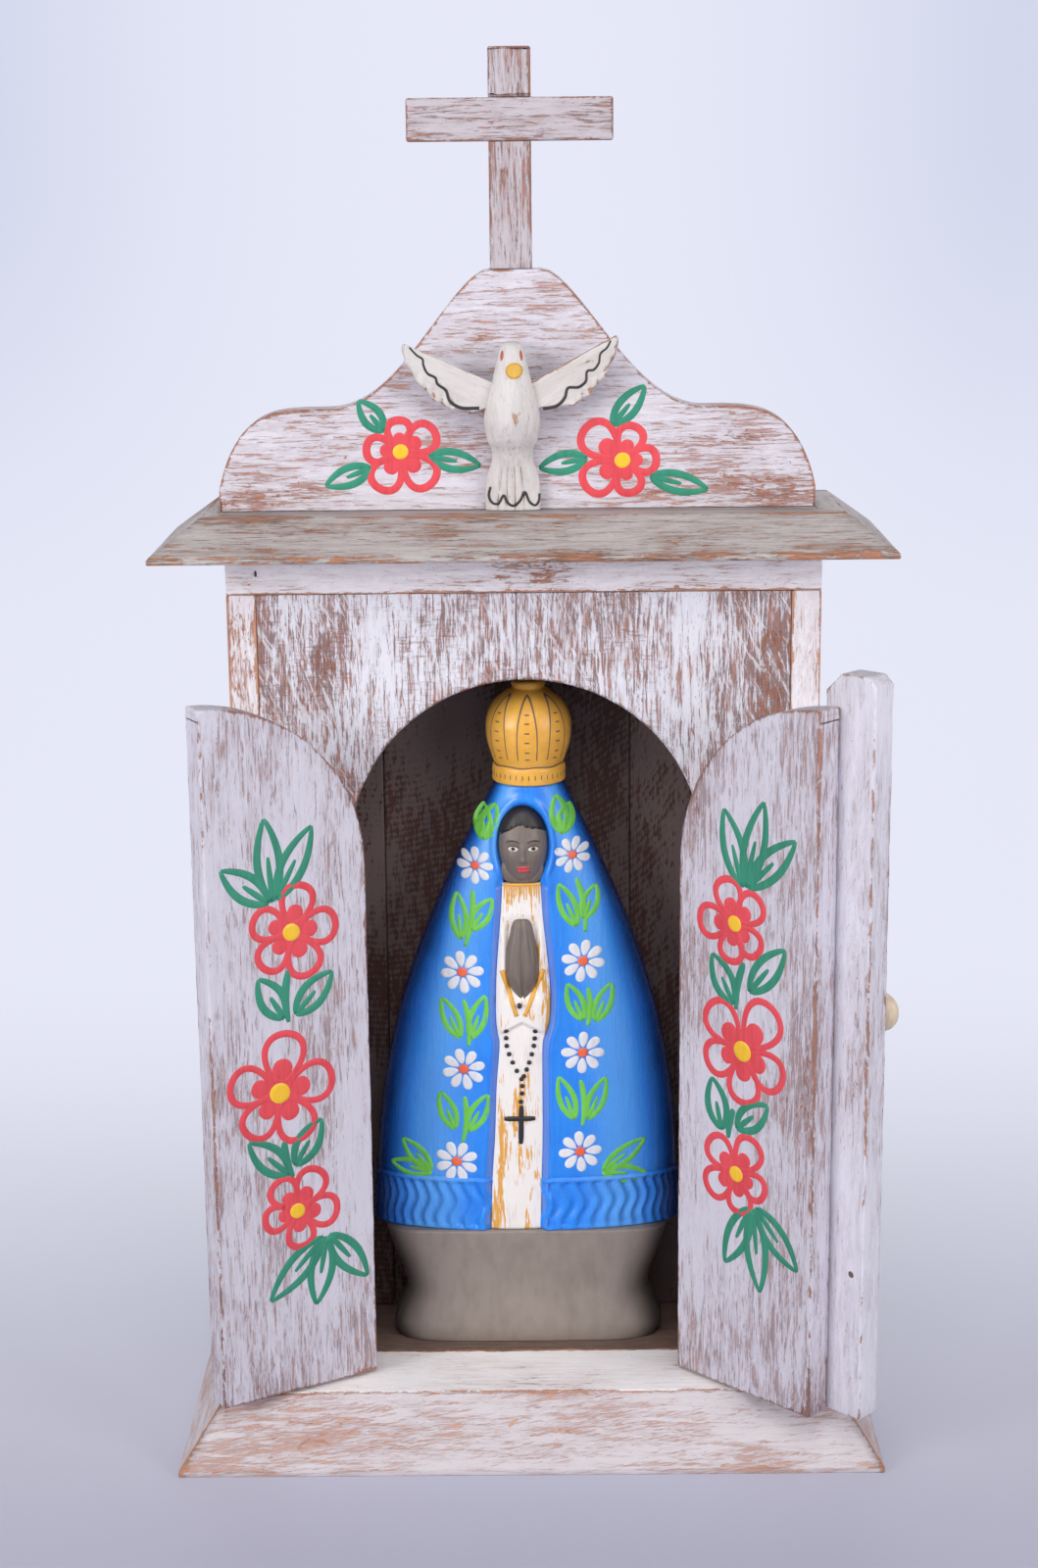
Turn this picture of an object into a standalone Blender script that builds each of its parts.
"""Wooden chapel shrine: a shallow box on a bevelled plinth, with a bevelled roof, a pediment with a
cross and a dove, two arched doors on butt hinges, and a crowned figure in the niche.

Metres, +Z up, +Y away from the viewer. The origin is the middle of the plinth's underside.
"""

import math

import bmesh
import bpy
from mathutils import Matrix, Vector

# Fits
SEAT = 0.0003                  # gap between pieces that touch
DOOR_GAP = 0.0010              # clearance of a closed door to the jamb, the arch and the centre line
DOOR_LIFT = 0.0020             # clearance under the doors
EDGE = 0.0010                  # chamfer on the boards' edges

# Plinth
PLINTH_HEIGHT = 0.0345
PLINTH_SILL = 0.0637           # from the box's front to the plinth's front foot
PLINTH_SIDE_SILL = 0.0328      # from the box's sides to the plinth's side feet
PLINTH_SLOPE = 0.0245          # depth of the bevelled mouldings
PLINTH_LIP = 0.0030            # upright lip at the foot of the bevel
PLINTH_CREST = 0.0016          # flat at the top of a moulding

# Box
WALL_THICK = 0.0145
TOP_THICK = 0.0198
PANEL_THICK = 0.0150
PANEL_JOINT_X = -0.0037        # where the two front boards meet
PANEL_STILE = 0.0429           # front board left beside the doorway
PANEL_HEAD = 0.0437            # front board left above the arch
PLANK_THICK = 0.0110
LEFT_PLANK_WIDTH = 0.0716
RIGHT_PLANK_WIDTH = 0.0917

# Doorway and doors
OPENING_SIDE_GAP = 0.0075      # from the mantle's hem to the jambs
OPENING_HEADROOM = 0.0071      # from the crown's top to the arch
DOOR_THICK = 0.0150
LEFT_DOOR_OPEN = math.radians(150.0)
RIGHT_DOOR_OPEN = math.radians(136.0)
ARC_STEPS = 18

# Strip and knob on the right door
STRIP_WIDTH = 0.0290
STRIP_THICK = 0.0145
STRIP_LAP = 0.0200             # how far the strip passes the door's free edge
STRIP_RISE = 0.0160            # how far it stands above the door's top
STRIP_CHAMFER_DOOR = 0.0090
STRIP_CHAMFER_FREE = 0.0045
KNOB_HEIGHT = 0.2040           # above the door's lower edge
KNOB_RADIUS = 0.0100
KNOB_NECK_RADIUS = 0.0052
KNOB_FOOT_RADIUS = 0.0072
KNOB_LENGTH = 0.0210
KNOB_SPIGOT_RADIUS = 0.0035
KNOB_SPIGOT_LENGTH = 0.0100

# Butt hinges
LEAF_HEIGHT = 0.0380
LEAF_WIDTH = 0.0130
LEAF_THICK = 0.0010
BARREL_RADIUS = 0.0023
PIN_RADIUS = 0.0010
PIN_CLEARANCE = 0.00015
KNUCKLE_GAP = 0.0004
HINGE_LOW = 0.0490             # lower hinge's middle, above the door's lower edge
HINGE_HIGH = 0.0470            # upper hinge's middle, below the springing
NAIL_RADIUS = 0.0009
NAIL_HEAD_RADIUS = 0.0022
NAIL_HEAD_THICK = 0.0008
NAIL_MARGIN = 0.0075           # from a leaf's end to the nail
NAIL_CLEARANCE = 0.0003

# Roof
ROOF_OVERHANG = 0.0350         # in front of the box
ROOF_SIDE_OVERHANG = 0.03345
ROOF_THICK = 0.0195
ROOF_BEVEL = 0.0237
ROOF_LIP = 0.0028

# Pediment
PEDIMENT_INSET = 0.00855       # from the top of the roof's end bevels
PEDIMENT_X = -0.0027
PEDIMENT_THICK = 0.0160
PEDIMENT_SETBACK = 0.0093      # behind the box's front
SHOULDER_HEIGHT = 0.0495
SHOULDER_POWER = 4.0           # how long the shoulder's top stays level
SHOULDER_END_POWER = 1.5       # how soon its end leans in
BELL_REACH = 0.0910            # from the middle to the foot of the bell curve
BELL_POWER = 0.78              # how soon the bell falls away from the peak
PEAK_HEIGHT = 0.1155
PEAK_SPARE = 0.0015            # flat of the peak left on each side of the cross
PEDIMENT_DOWEL_X = 0.0900
PEDIMENT_DOWEL_RADIUS = 0.0040
PEDIMENT_DOWEL_LENGTH = 0.0280

# Cross
CROSS_X = -0.0046
CROSS_HEIGHT = 0.1030
CROSS_BAR = 0.0203             # width of the post and of the arm
CROSS_THICK = 0.0150
CROSS_SPAN = 0.0985
CROSS_ARM_DROP = 0.0233        # from the top of the post to the top of the arm
CROSS_DOWEL_RADIUS = 0.0035
CROSS_DOWEL_LENGTH = 0.0300

# Dove
DOVE_X = -0.0047
DOVE_HEIGHT = 0.0816
DOVE_WIDTH = 0.0272
DOVE_DEPTH = 0.0200
WING_LENGTH = 0.0490
WING_CHORD = 0.0202            # at its deepest
WING_ROOT_CHORD = 0.0145
WING_DEEPEST = 0.62            # place of the deepest chord, as a share from the tip
WING_TIP_POWER = 1.55          # how square the tip is
WING_THICK = 0.0042
WING_TONGUE = 0.0050           # part of the wing let into the body
WING_DROP = 0.0198             # wing roots below the top of the head
WING_SPREAD = 0.0080           # wing roots from the dove's middle
WING_FORWARD = math.radians(10.0)
LEFT_WING_RISE = math.radians(24.5)
RIGHT_WING_RISE = math.radians(28.5)
SCALLOPS = 5
SCALLOP_DEPTH = 0.0012
DOVE_PEG_RADIUS = 0.0025
DOVE_PEG_LENGTH = 0.0150
DOVE_PEG_DROP = 0.0390         # below the top of the head

# Figure
FIGURE_X = -0.0015
FIGURE_FRONT_GAP = 0.0016      # from the closed doors to the figure
FIGURE_BACK_GAP = 0.0040       # from the figure to the back planks
PEDESTAL_WIDTH = 0.1500
PEDESTAL_DEPTH = 0.0440
PEDESTAL_HEIGHT = 0.0632
PEDESTAL_WAIST = 0.0105        # how far its sides draw in
MANTLE_HEIGHT = 0.2403
HEM_WIDTH = 0.1600
HEM_DEPTH = 0.0420
HEM_HEIGHT = 0.0285
HEM_RELIEF = 0.0010
COLLAR_WIDTH = 0.0350
COLLAR_DEPTH = 0.0340
MANTLE_POWER = 1.25            # how soon the mantle's bell draws in
GOWN_WIDTH = 0.0262            # at the hem
GOWN_TOP_WIDTH = 0.0200
GOWN_RECESS = 0.0026
HEAD_DROP = 0.0315             # from the mantle's top to the middle of the head
HEAD_WIDTH = 0.0256
HEAD_HEIGHT = 0.0420
HEAD_DEPTH = 0.0180
HOOD_RIM = 0.0009              # gap between the head and the hood's opening
HOOD_RECESS = 0.0046           # depth of the hood's opening
HANDS_DROP = 0.0932            # from the mantle's top to the middle of the hands
HANDS_WIDTH = 0.0180
HANDS_HEIGHT = 0.0470
HANDS_DEPTH = 0.0100
CROWN_X = 0.0017
CROWN_HEIGHT = 0.0520
CROWN_BAND_DIAMETER = 0.0376
CROWN_SWELL = 0.0032           # how far the bulb stands out from the band
CROWN_BAND_HEIGHT = 0.0095
CROWN_BUTTON_DIAMETER = 0.0172
CROWN_BUTTON_HEIGHT = 0.0038

# Places that follow from the sizes above
CROWN_DIAMETER = CROWN_BAND_DIAMETER + 2 * CROWN_SWELL
FIGURE_DEPTH = max(HEM_DEPTH + 2 * HEM_RELIEF, CROWN_DIAMETER, PEDESTAL_DEPTH)
BOX_DEPTH = DOOR_THICK + FIGURE_FRONT_GAP + FIGURE_DEPTH + FIGURE_BACK_GAP + PLANK_THICK
FRONT_Y = (PLINTH_SILL - BOX_DEPTH) / 2
BACK_Y = FRONT_Y + BOX_DEPTH
FOOT_Y = FRONT_Y - PLINTH_SILL
PLANK_Y = BACK_Y - PLANK_THICK
FLOOR_Z = PLINTH_HEIGHT
MANTLE_BOTTOM = FLOOR_Z + SEAT + PEDESTAL_HEIGHT + SEAT
MANTLE_TOP = MANTLE_BOTTOM + MANTLE_HEIGHT
CROWN_TOP = MANTLE_TOP + SEAT + CROWN_HEIGHT
ARCH_RADIUS = HEM_WIDTH / 2 + HEM_RELIEF + OPENING_SIDE_GAP
BOX_WIDTH = 2 * (ARCH_RADIUS + PANEL_STILE + SEAT + WALL_THICK)
PLINTH_WIDTH = BOX_WIDTH + 2 * PLINTH_SIDE_SILL
ROOF_WIDTH = BOX_WIDTH + 2 * ROOF_SIDE_OVERHANG
PEDIMENT_WIDTH = ROOF_WIDTH - 2 * (ROOF_BEVEL + PEDIMENT_INSET)
SPRING_Z = CROWN_TOP + OPENING_HEADROOM - ARCH_RADIUS
DOOR_RADIUS = ARCH_RADIUS - DOOR_GAP
DOOR_BOTTOM = FLOOR_Z + DOOR_LIFT
DOOR_TOP = SPRING_Z + DOOR_RADIUS
PANEL_TOP = SPRING_Z + ARCH_RADIUS + PANEL_HEAD
BOX_TOP = PANEL_TOP + SEAT + TOP_THICK
ROOF_BOTTOM = BOX_TOP + SEAT
ROOF_TOP = ROOF_BOTTOM + ROOF_THICK
PEDIMENT_Y = FRONT_Y + PEDIMENT_SETBACK
PEDIMENT_MIDDLE_Y = PEDIMENT_Y + PEDIMENT_THICK / 2
PEAK_Z = ROOF_TOP + SEAT + PEAK_HEIGHT
DOVE_TOP = ROOF_TOP + SEAT + DOVE_HEIGHT
HINGE_X = ARCH_RADIUS - DOOR_GAP / 2
HINGE_Y = FRONT_Y - SEAT - BARREL_RADIUS
HINGE_LEVELS = {"lower": DOOR_BOTTOM + HINGE_LOW, "upper": SPRING_Z - HINGE_HIGH}
FIGURE_Y = FRONT_Y + DOOR_THICK + FIGURE_FRONT_GAP + FIGURE_DEPTH / 2

# Finishes: colour, roughness, metallic
WHITEWASH = ((0.72, 0.69, 0.70), 0.75, 0.0)
GREY_WASH = ((0.52, 0.50, 0.49), 0.78, 0.0)
NICHE_WOOD = ((0.30, 0.25, 0.23), 0.80, 0.0)
BARE_WOOD = ((0.47, 0.27, 0.15), 0.70, 0.0)
DOVE_WHITE = ((0.78, 0.74, 0.68), 0.60, 0.0)
MANTLE_BLUE = ((0.03, 0.16, 0.55), 0.40, 0.0)
CROWN_OCHRE = ((0.73, 0.42, 0.08), 0.45, 0.0)
PEDESTAL_GREY = ((0.20, 0.18, 0.15), 0.50, 0.0)
KNOB_CREAM = ((0.70, 0.60, 0.48), 0.60, 0.0)
HINGE_STEEL = ((0.55, 0.52, 0.45), 0.40, 1.0)


def clear_scene():
    """Remove every object of the start-up scene."""
    for obj in list(bpy.data.objects):
        bpy.data.objects.remove(obj, do_unlink=True)


def make_material(name, finish):
    """One Principled BSDF with a piece's colour, roughness and metallic value."""
    colour, roughness, metallic = finish
    material = bpy.data.materials.new(name)
    material.use_nodes = True
    shader = material.node_tree.nodes["Principled BSDF"]
    shader.inputs["Base Color"].default_value = (*colour, 1.0)
    shader.inputs["Roughness"].default_value = roughness
    shader.inputs["Metallic"].default_value = metallic
    return material


def add_object(name, bm, finish, parent=None, smooth_angle=None):
    """Turn a bmesh into a named object with its own material."""
    bmesh.ops.recalc_face_normals(bm, faces=bm.faces)
    mesh = bpy.data.meshes.new(name)
    bm.to_mesh(mesh)
    bm.free()
    mesh.materials.append(make_material(name, finish))
    if smooth_angle is not None:
        mesh.shade_smooth()
        mesh.set_sharp_from_angle(angle=smooth_angle)
    obj = bpy.data.objects.new(name, mesh)
    bpy.context.scene.collection.objects.link(obj)
    obj.parent = parent
    return obj


def add_cutter(name, bm, parent=None):
    """A hidden helper for a Boolean."""
    obj = add_object(name, bm, BARE_WOOD, parent)
    obj.hide_render = True
    obj.display_type = "WIRE"
    return obj


def boolean(obj, helper, operation="DIFFERENCE"):
    """Cut, or join, a helper's shape with the exact solver."""
    modifier = obj.modifiers.new(helper.name, "BOOLEAN")
    modifier.operation = operation
    modifier.solver = "EXACT"
    modifier.object = helper


def chamfer_edges(obj, width):
    """Break the sharp edges of a board."""
    modifier = obj.modifiers.new("edges", "BEVEL")
    modifier.width = width
    modifier.segments = 1
    modifier.limit_method = "ANGLE"
    modifier.angle_limit = math.radians(40)


def loft(rings):
    """Skin over a list of closed rings with equal point counts, capped at both ends."""
    bm = bmesh.new()
    loops = [[bm.verts.new(point) for point in ring] for ring in rings]
    for lower, upper in zip(loops, loops[1:]):
        for i, vert in enumerate(lower):
            j = (i + 1) % len(lower)
            bm.faces.new((vert, lower[j], upper[j], upper[i]))
    bm.faces.new(loops[0][::-1])
    bm.faces.new(loops[-1])
    return bm


def box(low, high):
    """An upright box between two corners."""
    corners = ((low[0], low[1]), (high[0], low[1]), (high[0], high[1]), (low[0], high[1]))
    return loft([[(x, y, z) for x, y in corners] for z in (low[2], high[2])])


def plate(outline, near, far):
    """An outline in X and Z, given thickness from Y = near to Y = far."""
    return loft([[(x, y, z) for x, z in outline] for y in (near, far)])


def circle(radius, count, phase=0.0):
    """Points on a circle, as pairs."""
    angles = [phase + 2 * math.pi * i / count for i in range(count)]
    return [(radius * math.cos(a), radius * math.sin(a)) for a in angles]


def arc(radius, start, end, steps):
    """Points on an arc about the middle of the doorway's springing line, in X and Z."""
    angles = [start + (end - start) * i / steps for i in range(steps + 1)]
    return [(radius * math.cos(a), SPRING_Z + radius * math.sin(a)) for a in angles]


def turned(profile, count, centre):
    """A turned shape about a vertical axis: (radius, height) pairs from the foot up."""
    rings = []
    for radius, height in profile:
        ring = [(centre[0] + x, centre[1] + y, centre[2] + height) for x, y in circle(radius, count)]
        rings.append(ring)
    return loft(rings)


def rod(start, end, radius, count=10):
    """A straight round rod between two points."""
    axis = Vector(end) - Vector(start)
    turn = axis.to_track_quat("Z", "Y").to_matrix()
    rings = []
    for base in (Vector(start), Vector(end)):
        rings.append([base + turn @ Vector((x, y, 0)) for x, y in circle(radius, count)])
    return loft(rings)


def merge(parts):
    """Collect several bmeshes in one, for a cutter made of separate shapes."""
    whole = bmesh.new()
    for part in parts:
        mesh = bpy.data.meshes.new("merge")
        part.to_mesh(mesh)
        part.free()
        whole.from_mesh(mesh)
        bpy.data.meshes.remove(mesh)
    return whole


def board(name, low, high, finish):
    """A sawn board with its edges broken."""
    obj = add_object(name, box(low, high), finish)
    chamfer_edges(obj, EDGE)
    return obj


def moulding(name, across, start, end, finish):
    """A bevelled plinth moulding.

    across(out, along, z) places a point that lies out from the core and along the run; start and end
    give the run's limits as a function of out, which makes the mitres.
    """
    foot = PLINTH_SLOPE
    section = ((SEAT, 0.0), (foot, 0.0), (foot, PLINTH_LIP), (SEAT + PLINTH_CREST, PLINTH_HEIGHT),
               (SEAT, PLINTH_HEIGHT))
    rings = []
    for limit in (start, end):
        rings.append([across(out, limit(out), z) for out, z in section])
    return add_object(name, loft(rings), finish)


def make_plinth():
    """The core board, which is also the niche's floor, and the three mouldings round it."""
    half = PLINTH_WIDTH / 2 - PLINTH_SLOPE
    front = FOOT_Y + PLINTH_SLOPE
    board("plinth_core", (-half, front, 0.0), (half, BACK_Y, PLINTH_HEIGHT), WHITEWASH)
    moulding("plinth_front_moulding", lambda out, along, z: (along, front - out, z),
             lambda out: -half - out + SEAT, lambda out: half + out - SEAT, WHITEWASH)
    moulding("plinth_left_moulding", lambda out, along, z: (-half - out, along, z),
             lambda out: front - out + SEAT, lambda out: BACK_Y, WHITEWASH)
    moulding("plinth_right_moulding", lambda out, along, z: (half + out, along, z),
             lambda out: front - out + SEAT, lambda out: BACK_Y, WHITEWASH)


def nail_spots(side, level, out):
    """Centres of the two nails of a leaf, in X and Z; out is +1 on the frame and -1 on the door."""
    x = side * (HINGE_X + out * (BARREL_RADIUS + SEAT + LEAF_WIDTH) / 2 + out * BARREL_RADIUS / 2)
    return [(x, level + sign * (LEAF_HEIGHT / 2 - NAIL_MARGIN)) for sign in (-1, 1)]


def nail_holes(side, out, thick):
    """Cutter for the nail holes of one board, straight through its thickness."""
    rods = []
    for level in HINGE_LEVELS.values():
        for x, z in nail_spots(side, level, out):
            ends = ((x, FRONT_Y - thick, z), (x, FRONT_Y + 2 * thick, z))
            rods.append(rod(*ends, NAIL_RADIUS + NAIL_CLEARANCE))
    return merge(rods)


def make_front_board(side, name):
    """One of the two front boards, cut to its half of the arch."""
    joint = PANEL_JOINT_X + side * SEAT / 2
    outer = side * (BOX_WIDTH / 2 - WALL_THICK - SEAT)
    jamb = 0.0 if side > 0 else math.pi
    outline = arc(ARCH_RADIUS, math.acos(joint / ARCH_RADIUS), jamb, ARC_STEPS)
    outline += [(side * ARCH_RADIUS, FLOOR_Z + SEAT), (outer, FLOOR_Z + SEAT), (outer, PANEL_TOP),
                (joint, PANEL_TOP)]
    obj = add_object(name, plate(outline, FRONT_Y, FRONT_Y + PANEL_THICK), WHITEWASH)
    boolean(obj, add_cutter(name + "_nail_holes", nail_holes(side, 1, PANEL_THICK)))


def make_box():
    """Walls, top board, the two front boards and the back planks."""
    half = BOX_WIDTH / 2
    wall_top = PANEL_TOP
    back = PLANK_Y - SEAT
    board("left_wall", (-half, FRONT_Y, FLOOR_Z + SEAT), (-half + WALL_THICK, back, wall_top), WHITEWASH)
    board("right_wall", (half - WALL_THICK, FRONT_Y, FLOOR_Z + SEAT), (half, back, wall_top), WHITEWASH)
    board("top_board", (-half, FRONT_Y, wall_top + SEAT), (half, back, BOX_TOP), WHITEWASH)
    make_front_board(-1, "front_board_left")
    make_front_board(1, "front_board_right")
    edges = (-half, -half + LEFT_PLANK_WIDTH, half - RIGHT_PLANK_WIDTH, half)
    names = ("back_plank_left", "back_plank_middle", "back_plank_right")
    for name, left, right in zip(names, edges, edges[1:]):
        low = (left + SEAT / 2, PLANK_Y, FLOOR_Z + SEAT)
        high = (right - SEAT / 2, BACK_Y, BOX_TOP)
        board(name, low, high, NICHE_WOOD)


def make_roof():
    """The roof board: square at the back, bevelled at the front and the ends."""
    half = ROOF_WIDTH / 2
    front = FRONT_Y - ROOF_OVERHANG
    rings = []
    for inset, z in ((0.0, ROOF_BOTTOM), (0.0, ROOF_BOTTOM + ROOF_LIP), (ROOF_BEVEL, ROOF_TOP)):
        left, right, near = -half + inset, half - inset, front + inset
        rings.append([(left, near, z), (right, near, z), (right, BACK_Y, z), (left, BACK_Y, z)])
    roof = add_object("roof_board", loft(rings), GREY_WASH)
    boolean(roof, add_cutter("roof_dowel_holes", pediment_dowels(SEAT)))


def pediment_dowels(spare):
    """The two dowels between roof and pediment, or with spare the holes for them."""
    rods = [dowel_under_pediment(side, spare) for side in (-1, 1)]
    return merge(rods)


def dowel_under_pediment(side, spare=0.0):
    """One dowel, half in the roof and half in the pediment."""
    x = PEDIMENT_X + side * PEDIMENT_DOWEL_X
    reach = PEDIMENT_DOWEL_LENGTH / 2 + spare
    ends = [(x, PEDIMENT_MIDDLE_Y, ROOF_TOP + sign * reach) for sign in (-1, 1)]
    return rod(*ends, PEDIMENT_DOWEL_RADIUS + spare)


def pediment_outline():
    """Upright ends, rounded shoulders, then a bell curve up to the flat peak."""
    half = PEDIMENT_WIDTH / 2
    flat = CROSS_BAR / 2 + PEAK_SPARE + abs(CROSS_X - PEDIMENT_X)
    base = ROOF_TOP + SEAT
    steps = 12
    right = []
    for i in range(steps):
        share = math.sin(math.pi / 2 * (1 - i / steps))
        rise = (1 - share ** SHOULDER_POWER) ** (1 / SHOULDER_END_POWER)
        right.append((BELL_REACH + (half - BELL_REACH) * share, base + SHOULDER_HEIGHT * rise))
    for i in range(steps + 1):
        share = i / steps
        rise = 0.5 + 0.5 * math.cos(math.pi * (1 - share) ** BELL_POWER)
        x = BELL_REACH + (flat - BELL_REACH) * share
        right.append((x, base + SHOULDER_HEIGHT + (PEAK_HEIGHT - SHOULDER_HEIGHT) * rise))
    left = [(-x, z) for x, z in reversed(right)]
    return [(PEDIMENT_X + x, z) for x, z in right + left]


def cross_dowel(spare=0.0):
    """The dowel between the pediment's peak and the cross."""
    reach = CROSS_DOWEL_LENGTH / 2 + spare
    ends = [(CROSS_X, PEDIMENT_MIDDLE_Y, PEAK_Z + sign * reach) for sign in (-1, 1)]
    return rod(*ends, CROSS_DOWEL_RADIUS + spare)


def dove_peg(spare=0.0):
    """The peg between the dove's back and the pediment."""
    z = DOVE_TOP - DOVE_PEG_DROP
    reach = DOVE_PEG_LENGTH / 2 + spare
    ends = [(DOVE_X, PEDIMENT_Y + sign * reach, z) for sign in (-1, 1)]
    return rod(*ends, DOVE_PEG_RADIUS + spare)


def make_pediment():
    """The pediment board with its dowel and peg holes, and the dowels under it."""
    obj = add_object("pediment", plate(pediment_outline(), PEDIMENT_Y, PEDIMENT_Y + PEDIMENT_THICK),
                     WHITEWASH)
    holes = [dowel_under_pediment(side, SEAT) for side in (-1, 1)]
    holes += [cross_dowel(SEAT), dove_peg(SEAT)]
    boolean(obj, add_cutter("pediment_holes", merge(holes)))
    add_object("pediment_dowel_left", dowel_under_pediment(-1), BARE_WOOD)
    add_object("pediment_dowel_right", dowel_under_pediment(1), BARE_WOOD)


def make_cross():
    """Post and arm, half-lapped so that the arm's face runs over the post, and the dowel."""
    near = PEDIMENT_MIDDLE_Y - CROSS_THICK / 2
    far = near + CROSS_THICK
    middle = (near + far) / 2
    foot = PEAK_Z + SEAT
    top = foot + CROSS_HEIGHT
    arm_top = top - CROSS_ARM_DROP
    arm_bottom = arm_top - CROSS_BAR
    half = CROSS_BAR / 2
    side_view = ((near, foot), (far, foot), (far, top), (near, top), (near, arm_top + SEAT),
                 (middle + SEAT / 2, arm_top + SEAT), (middle + SEAT / 2, arm_bottom - SEAT),
                 (near, arm_bottom - SEAT))
    post = loft([[(x, y, z) for y, z in side_view] for x in (CROSS_X - half, CROSS_X + half)])
    post_object = add_object("cross_post", post, WHITEWASH)
    boolean(post_object, add_cutter("cross_post_hole", cross_dowel(SEAT)))
    end = CROSS_SPAN / 2
    lap = half + SEAT
    plan = ((-end, near), (end, near), (end, far), (lap, far), (lap, middle - SEAT / 2),
            (-lap, middle - SEAT / 2), (-lap, far), (-end, far))
    arm = loft([[(CROSS_X + x, y, z) for x, y in plan] for z in (arm_bottom, arm_top)])
    add_object("cross_arm", arm, WHITEWASH)
    add_object("cross_dowel", cross_dowel(), BARE_WOOD)


def wing_frame(side):
    """Places a wing's own axes: X from root to tip, Y forward, Z up the chord."""
    rise = RIGHT_WING_RISE if side > 0 else LEFT_WING_RISE
    root = (DOVE_X + side * WING_SPREAD, PEDIMENT_Y - DOVE_DEPTH / 2, DOVE_TOP - WING_DROP)
    mirror = Matrix.Diagonal((side, 1, 1, 1))
    swing = Matrix.Rotation(-WING_FORWARD, 4, "Z") @ Matrix.Rotation(-rise, 4, "Y")
    return Matrix.Translation(root) @ mirror @ swing


def wing_outline():
    """Straight leading edge, scalloped trailing edge, and a tongue at the root."""
    points = [(-WING_TONGUE, -WING_ROOT_CHORD), (-WING_TONGUE, 0.0), (WING_LENGTH, 0.0)]
    count = SCALLOPS * 6
    for i in range(1, count):
        share = i / count
        bite = SCALLOP_DEPTH * abs(math.cos(math.pi * SCALLOPS * share))
        points.append((WING_LENGTH * (1 - share), bite - wing_chord(share)))
    return points


def wing_chord(share):
    """The wing's depth at a share of its length from the tip: a round tip, then easing to the root."""
    if share < WING_DEEPEST:
        fall = (1 - share / WING_DEEPEST) ** WING_TIP_POWER
        return WING_CHORD * (1 - fall) ** (1 / WING_TIP_POWER)
    ease = (share - WING_DEEPEST) / (1 - WING_DEEPEST)
    return WING_CHORD - (WING_CHORD - WING_ROOT_CHORD) * ease ** 2


def make_dove():
    """Carved body with a fanned tail, and two flat wings let into its sides."""
    half, deep = DOVE_WIDTH / 2, DOVE_DEPTH / 2
    # Height, width, depth and forward lean of each section, as shares of the dove's sizes
    sections = ((0.00, 1.00, 0.33, 0.00), (0.10, 1.00, 0.34, 0.00), (0.20, 0.94, 0.40, 0.00),
                (0.29, 0.78, 0.50, 0.00), (0.36, 0.75, 0.62, 0.00), (0.43, 0.92, 0.80, 0.00),
                (0.52, 1.00, 0.95, 0.00), (0.60, 0.98, 1.00, 0.00), (0.66, 0.89, 0.97, 0.05),
                (0.74, 0.75, 0.88, 0.15), (0.82, 0.64, 0.76, 0.28), (0.90, 0.52, 0.62, 0.38),
                (0.96, 0.40, 0.46, 0.43), (1.00, 0.20, 0.22, 0.43))
    rings = []
    for height, width, depth, lean in sections:
        y = PEDIMENT_Y - SEAT - (depth + lean) * deep
        z = DOVE_TOP + (height - 1) * DOVE_HEIGHT
        rings.append([(DOVE_X + width * half * x, y + depth * deep * v, z) for x, v in circle(1.0, 20)])
    body = add_object("dove_body", loft(rings), DOVE_WHITE, smooth_angle=math.radians(50))
    boolean(body, add_cutter("dove_peg_hole", dove_peg(SEAT)))
    for side, name in ((-1, "dove_wing_left"), (1, "dove_wing_right")):
        frame = wing_frame(side)
        wing = plate(wing_outline(), -WING_THICK / 2, WING_THICK / 2)
        bmesh.ops.transform(wing, matrix=frame, verts=wing.verts)
        add_object(name, wing, DOVE_WHITE)
        outline = wing_outline()
        grown = [(x + (SEAT if x > 0 else -SEAT), z + (SEAT if z > -SEAT else -SEAT)) for x, z in outline]
        slot = plate(grown, -WING_THICK / 2 - SEAT, WING_THICK / 2 + SEAT)
        bmesh.ops.transform(slot, matrix=frame, verts=slot.verts)
        boolean(body, add_cutter(name + "_slot", slot))
    add_object("dove_peg", dove_peg(), BARE_WOOD)


def squircle(width, depth, power, count):
    """Points of a superellipse of the given full sizes, as pairs."""
    points = []
    for x, y in circle(1.0, count):
        points.append((math.copysign(abs(x) ** (2 / power), x) * width / 2,
                       math.copysign(abs(y) ** (2 / power), y) * depth / 2))
    return points


def make_pedestal():
    """The figure's block, drawn in between its top and its foot."""
    # Height, and how much of the waist is drawn in there
    sections = ((0.00, 0.62), (0.05, 0.44), (0.14, 0.35), (0.27, 0.62), (0.43, 1.00), (0.62, 0.76),
                (0.82, 0.32), (1.00, 0.00))
    rings = []
    for height, draw in sections:
        width = PEDESTAL_WIDTH - 2 * draw * PEDESTAL_WAIST
        depth = PEDESTAL_DEPTH - draw * PEDESTAL_WAIST / 2
        z = FLOOR_Z + SEAT + height * PEDESTAL_HEIGHT
        rings.append([(FIGURE_X + x, FIGURE_Y + y, z) for x, y in squircle(width, depth, 4.5, 40)])
    add_object("figure_pedestal", loft(rings), PEDESTAL_GREY, smooth_angle=math.radians(50))


def mantle_size(share):
    """The mantle's full width and depth at a share of its height, above the hem band."""
    draw = math.cos(math.pi / 2 * share ** MANTLE_POWER)
    return COLLAR_WIDTH + (HEM_WIDTH - COLLAR_WIDTH) * draw, COLLAR_DEPTH + (HEM_DEPTH - COLLAR_DEPTH) * draw


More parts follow.
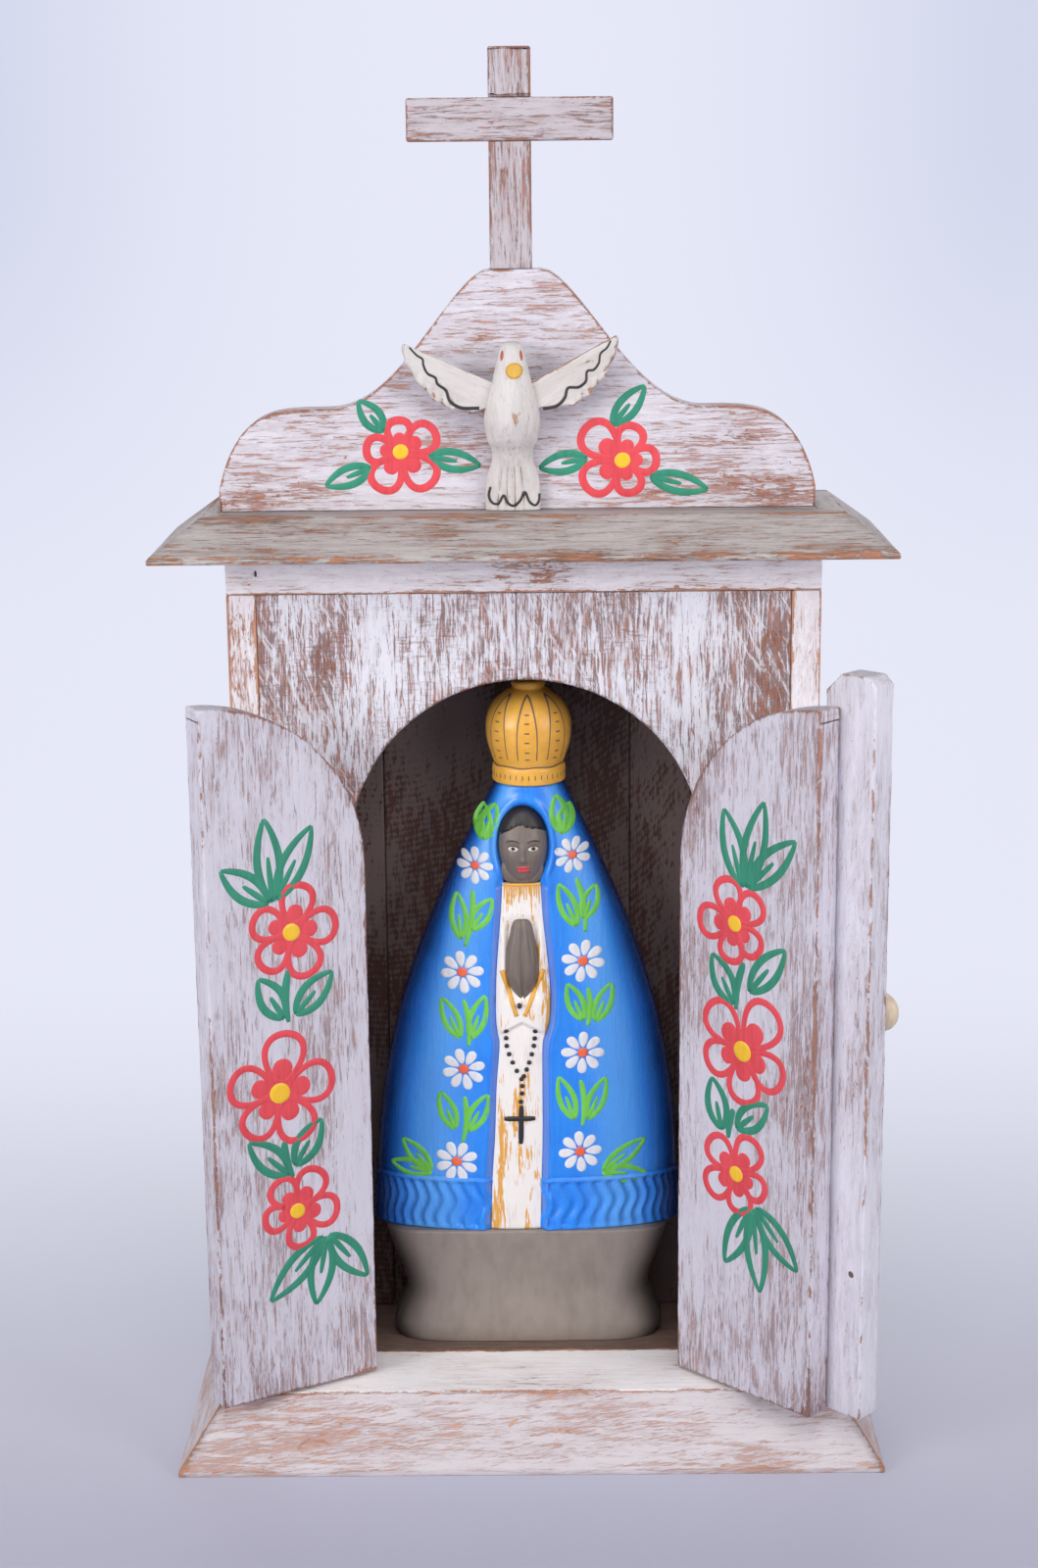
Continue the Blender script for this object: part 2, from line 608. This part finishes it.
def ellipsoid(centre, width, depth, height):
    """An ellipsoid of the given full sizes."""
    bm = bmesh.new()
    bmesh.ops.create_uvsphere(bm, u_segments=20, v_segments=12, radius=0.5)
    place = Matrix.Translation(centre) @ Matrix.Diagonal((width, depth, height, 1))
    bmesh.ops.transform(bm, matrix=place, verts=bm.verts)
    return bm


def mantle_section(share, relief):
    """A level section of the mantle: an ellipse, set back at the front where the gown shows."""
    width, depth = (size + 2 * relief for size in mantle_size(share))
    head_share = 1 - HEAD_DROP / MANTLE_HEIGHT
    gown = GOWN_WIDTH + (GOWN_TOP_WIDTH - GOWN_WIDTH) * share
    start = -math.acos(gown / width)
    steps = 42
    angles = [start + (math.pi - 2 * start) * i / steps for i in range(steps + 1)]
    points = [(width / 2 * math.cos(a), depth / 2 * math.sin(a)) for a in angles]
    rim = points[0][1]
    if share < head_share:
        reach, floor = 0.96 * gown / 2, rim + GOWN_RECESS
    else:
        reach = gown / 4
        floor = -depth / 2 * math.sqrt(1 - (2 * reach / width) ** 2)
    return points + [(-reach, floor), (reach, floor)]


def make_figure_body():
    """The mantle as a bell, with the hem band, the gown's recess, the head and the joined hands."""
    band = HEM_HEIGHT / MANTLE_HEIGHT
    sections = [(0.0, HEM_RELIEF), (band, HEM_RELIEF), (band + 0.004, 0.0)]
    count = 12
    sections += [(band + (1 - band) * i / count, 0.0) for i in range(1, count + 1)]
    rings = []
    for share, relief in sections:
        middle = FIGURE_X + (CROWN_X - FIGURE_X) * share
        z = MANTLE_BOTTOM + share * MANTLE_HEIGHT
        rings.append([(middle + x, FIGURE_Y + y, z) for x, y in mantle_section(share, relief)])
    body = add_object("figure_body", loft(rings), MANTLE_BLUE, smooth_angle=math.radians(50))
    front = FIGURE_Y - HEM_DEPTH / 2
    head_z = MANTLE_TOP - HEAD_DROP
    hands_z = MANTLE_TOP - HANDS_DROP
    face_y = FIGURE_Y - mantle_size(1 - HEAD_DROP / MANTLE_HEIGHT)[1] / 2 + HOOD_RECESS
    hood = [(FIGURE_X + x, head_z + z) for x, z in squircle(HEAD_WIDTH + 2 * HOOD_RIM,
                                                           HEAD_HEIGHT + 2 * HOOD_RIM, 2.0, 28)]
    boolean(body, add_cutter("hood_opening", plate(hood, front - HEM_DEPTH, face_y)))
    head = ellipsoid((FIGURE_X, front + HEAD_DEPTH / 2, head_z), HEAD_WIDTH, HEAD_DEPTH, HEAD_HEIGHT)
    boolean(body, add_cutter("head_shape", head), "UNION")
    hands = ellipsoid((FIGURE_X, front + HANDS_DEPTH / 2, hands_z), HANDS_WIDTH, HANDS_DEPTH, HANDS_HEIGHT)
    boolean(body, add_cutter("hands_shape", hands), "UNION")


def make_crown():
    """The turned crown: a band, a waist, a bulb and a button."""
    band, bulb, button = CROWN_BAND_DIAMETER / 2, CROWN_DIAMETER / 2, CROWN_BUTTON_DIAMETER / 2
    low = CROWN_BAND_HEIGHT
    high = CROWN_HEIGHT - CROWN_BUTTON_HEIGHT
    profile = [(band * 0.97, 0.0), (band, low * 0.15), (band, low * 0.85), (band * 0.96, low)]
    steps = 9
    start = math.asin(0.96 * band / bulb)
    finish = math.pi - math.asin(button * 0.95 / bulb)
    for i in range(1, steps + 1):
        angle = start + (finish - start) * i / steps
        share = (math.cos(start) - math.cos(angle)) / (math.cos(start) - math.cos(finish))
        profile.append((bulb * math.sin(angle), low + (high - low) * share))
    profile += [(button, high + CROWN_BUTTON_HEIGHT * 0.3), (button, high + CROWN_BUTTON_HEIGHT * 0.8),
                (button * 0.7, CROWN_HEIGHT)]
    crown = turned(profile, 28, (CROWN_X, FIGURE_Y, CROWN_TOP - CROWN_HEIGHT))
    add_object("figure_crown", crown, CROWN_OCHRE, smooth_angle=math.radians(40))


def make_door_pivot(side, name, angle):
    """An empty on a door's hinge axis, turned to the open door."""
    pivot = bpy.data.objects.new(name, None)
    bpy.context.scene.collection.objects.link(pivot)
    pivot.location = (side * HINGE_X, HINGE_Y, 0.0)
    pivot.rotation_euler = (0.0, 0.0, angle)
    return pivot


def to_pivot(bm, side):
    """Move a shape that is drawn at its closed place into the space of its door's pivot."""
    bmesh.ops.translate(bm, vec=(-side * HINGE_X, -HINGE_Y, 0.0), verts=bm.verts)
    return bm


def make_door(side, name, pivot):
    """A door with a quarter-arch top, drawn closed, with its nail holes."""
    free = side * DOOR_GAP
    jamb = 0.0 if side > 0 else math.pi
    outline = arc(DOOR_RADIUS, math.acos(free / DOOR_RADIUS), jamb, ARC_STEPS)
    outline += [(side * DOOR_RADIUS, DOOR_BOTTOM), (free, DOOR_BOTTOM)]
    slab = plate(outline, FRONT_Y, FRONT_Y + DOOR_THICK)
    door = add_object(name, to_pivot(slab, side), WHITEWASH, pivot)
    holes = to_pivot(nail_holes(side, -1, DOOR_THICK), side)
    boolean(door, add_cutter(name + "_nail_holes", holes, pivot))


def make_strip_and_knob(pivot):
    """The strip over the meeting edges, and the turned knob let into it."""
    left = DOOR_GAP - STRIP_LAP
    right = left + STRIP_WIDTH
    top = DOOR_TOP + STRIP_RISE
    outline = ((left, DOOR_BOTTOM), (right, DOOR_BOTTOM), (right, top - STRIP_CHAMFER_DOOR),
               (right - STRIP_CHAMFER_DOOR, top), (left + STRIP_CHAMFER_FREE, top),
               (left, top - STRIP_CHAMFER_FREE))
    back = FRONT_Y - SEAT
    face = back - STRIP_THICK
    strip = add_object("door_strip", to_pivot(plate(outline, face, back), 1), WHITEWASH, pivot)
    foot = Vector(((left + right) / 2, face - SEAT, DOOR_BOTTOM + KNOB_HEIGHT))
    hole_end = foot + Vector((0, SEAT + KNOB_SPIGOT_LENGTH + SEAT, 0))
    hole = rod(foot - Vector((0, STRIP_THICK, 0)), hole_end, KNOB_SPIGOT_RADIUS + SEAT, 12)
    boolean(strip, add_cutter("knob_hole", to_pivot(hole, 1), pivot))
    neck, cap = KNOB_NECK_RADIUS, KNOB_RADIUS
    profile = ((KNOB_SPIGOT_RADIUS, -KNOB_SPIGOT_LENGTH), (KNOB_SPIGOT_RADIUS, 0.0), (KNOB_FOOT_RADIUS, 0.0),
               (KNOB_FOOT_RADIUS, KNOB_LENGTH * 0.10), (neck, KNOB_LENGTH * 0.26), (neck, KNOB_LENGTH * 0.40),
               (cap * 0.86, KNOB_LENGTH * 0.54), (cap, KNOB_LENGTH * 0.68), (cap * 0.94, KNOB_LENGTH * 0.82),
               (cap * 0.68, KNOB_LENGTH * 0.95), (cap * 0.30, KNOB_LENGTH))
    knob = turned(profile, 20, (0.0, 0.0, 0.0))
    place = Matrix.Translation(foot) @ Matrix.Rotation(math.radians(90), 4, "X")
    bmesh.ops.transform(knob, matrix=place, verts=knob.verts)
    add_object("door_knob", to_pivot(knob, 1), KNOB_CREAM, pivot, math.radians(40))


def leaf_shape(name, side, level, out, knuckles, parent):
    """A hinge leaf: a plate, and its knuckles joined to it, bored for the pin and the nails."""
    near = FRONT_Y - SEAT - LEAF_THICK
    far = FRONT_Y - SEAT
    inner = BARREL_RADIUS + SEAT
    low, high = level - LEAF_HEIGHT / 2, level + LEAF_HEIGHT / 2

    def span(start, end):
        """Two X limits, measured from the hinge axis towards the leaf."""
        return sorted((side * (HINGE_X + out * start), side * (HINGE_X + out * end)))

    plate_x = span(inner, BARREL_RADIUS + LEAF_WIDTH)
    shape = box((plate_x[0], near, low), (plate_x[1], far, high))
    leaf = add_object(name, to_pivot(shape, side) if parent else shape, HINGE_STEEL, parent)
    web_x = span(BARREL_RADIUS * 0.3, inner + LEAF_THICK)
    inset = LEAF_THICK * 0.05
    bore = [rod((side * HINGE_X, HINGE_Y, low - LEAF_THICK), (side * HINGE_X, HINGE_Y, high + LEAF_THICK),
                PIN_RADIUS + PIN_CLEARANCE, 12)]
    for index, (start, end) in enumerate(knuckles):
        barrel = rod((side * HINGE_X, HINGE_Y, start), (side * HINGE_X, HINGE_Y, end), BARREL_RADIUS, 16)
        web = box((web_x[0], near + inset, start + inset), (web_x[1], far - inset, end - inset))
        for part, helper in (("barrel", barrel), ("web", web)):
            shape = to_pivot(helper, side) if parent else helper
            boolean(leaf, add_cutter(f"{name}_{part}_{index}", shape, parent), "UNION")
    for x, z in nail_spots(side, level, out):
        bore.append(rod((x, near - LEAF_THICK, z), (x, far + LEAF_THICK, z), NAIL_RADIUS + NAIL_CLEARANCE))
    holes = merge(bore)
    boolean(leaf, add_cutter(name + "_holes", to_pivot(holes, side) if parent else holes, parent))


def make_nail(name, x, z, side, parent):
    """A round-headed nail through a leaf and its board."""
    face = FRONT_Y - SEAT - LEAF_THICK - SEAT
    tip = FRONT_Y + PANEL_THICK if parent is None else FRONT_Y + DOOR_THICK
    profile = ((NAIL_RADIUS * 0.4, face - tip), (NAIL_RADIUS, face - tip + 2 * NAIL_RADIUS),
               (NAIL_RADIUS, 0.0), (NAIL_HEAD_RADIUS, 0.0),
               (NAIL_HEAD_RADIUS * 0.9, NAIL_HEAD_THICK * 0.6), (NAIL_HEAD_RADIUS * 0.5, NAIL_HEAD_THICK))
    nail = turned(profile, 10, (0.0, 0.0, 0.0))
    place = Matrix.Translation((x, face, z)) @ Matrix.Rotation(math.radians(90), 4, "X")
    bmesh.ops.transform(nail, matrix=place, verts=nail.verts)
    add_object(name, to_pivot(nail, side) if parent else nail, HINGE_STEEL, parent)


def make_hinge(side, door, level_name, pivot):
    """A butt hinge: a frame leaf with two knuckles, a door leaf with one between them, pin and nails."""
    level = HINGE_LEVELS[level_name]
    low, high = level - LEAF_HEIGHT / 2, level + LEAF_HEIGHT / 2
    third = LEAF_HEIGHT / 3
    gap = KNUCKLE_GAP / 2
    outer = ((low, low + third - gap), (high - third + gap, high))
    middle = ((low + third + gap, high - third - gap),)
    stem = f"{door}_{level_name}_hinge"
    leaf_shape(stem + "_frame_leaf", side, level, 1, outer, None)
    leaf_shape(stem + "_door_leaf", side, level, -1, middle, pivot)
    pin = rod((side * HINGE_X, HINGE_Y, low), (side * HINGE_X, HINGE_Y, high), PIN_RADIUS, 12)
    add_object(stem + "_pin", pin, HINGE_STEEL)
    for out, leaf, parent in ((1, "frame", None), (-1, "door", pivot)):
        for index, (x, z) in enumerate(nail_spots(side, level, out), 1):
            make_nail(f"{stem}_{leaf}_nail_{index}", x, z, side, parent)


def main():
    """Build the shrine, piece by piece, from the floor up."""
    clear_scene()
    make_plinth()
    make_box()
    make_roof()
    make_pediment()
    make_cross()
    make_dove()
    make_pedestal()
    make_figure_body()
    make_crown()
    left_pivot = make_door_pivot(-1, "left_door_axis", -LEFT_DOOR_OPEN)
    right_pivot = make_door_pivot(1, "right_door_axis", RIGHT_DOOR_OPEN)
    make_door(-1, "left_door", left_pivot)
    make_door(1, "right_door", right_pivot)
    make_strip_and_knob(right_pivot)
    for level_name in HINGE_LEVELS:
        make_hinge(-1, "left", level_name, left_pivot)
        make_hinge(1, "right", level_name, right_pivot)


main()
